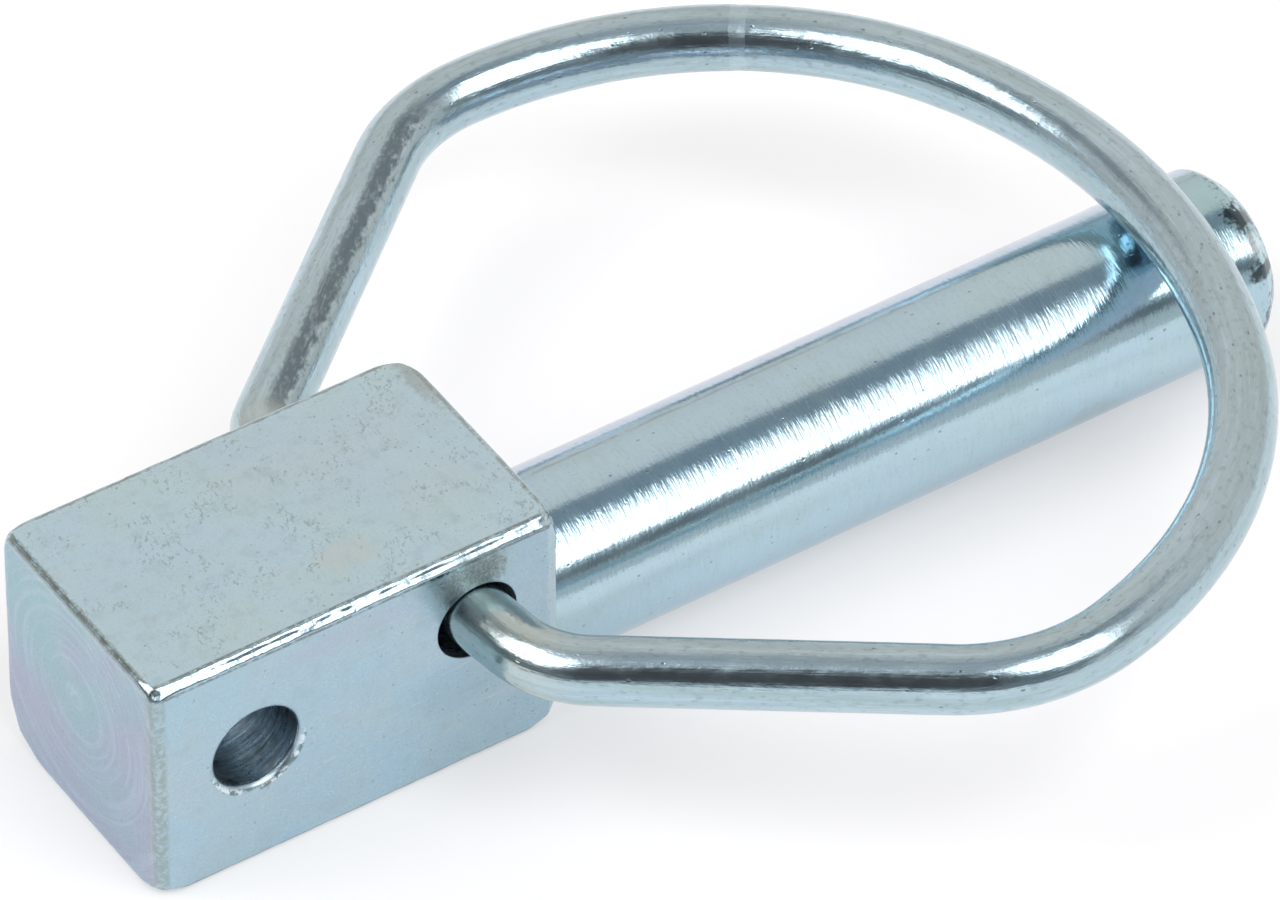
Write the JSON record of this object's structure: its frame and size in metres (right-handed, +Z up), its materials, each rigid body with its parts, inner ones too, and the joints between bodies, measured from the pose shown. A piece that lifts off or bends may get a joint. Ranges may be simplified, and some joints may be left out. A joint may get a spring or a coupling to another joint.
{
  "type": "lynch pin",
  "caption": "Square-headed lynch pin: an offset turned shank with a hinged D-shaped wire ring that closes over it, and a tether hole through the head.",
  "frame": {"origin": "on the shank's axis, in the plane of the shoulder where the shank meets the square head", "axes": "+X along the shank to its tip, +Z up with the pin lying on its head's underside, Y square across the head along its tether hole"},
  "size_m": [0.0773, 0.0647, 0.0161],
  "materials": {
    "pin_zinc": "bright zinc plate with a blue-white passivate over a turned and drawn steel bar, faint iridescent tints, brown stains",
    "ring_zinc": "zinc plated drawn spring wire, grey with lengthwise draw marks and small pits"
  },
  "bodies": {
    "pin": {"pin": "pin_zinc"},
    "ring": {"ring": "ring_zinc"}
  },
  "joints": [
    {"name": "ring_hinge", "type": "hinge", "parent": "pin", "child": "ring", "pos_m": [-0.00622, 0.0018, 0.00485], "axis": [0.1005, -0.9933, 0.0576], "range_deg": [0, 341]}
  ]
}
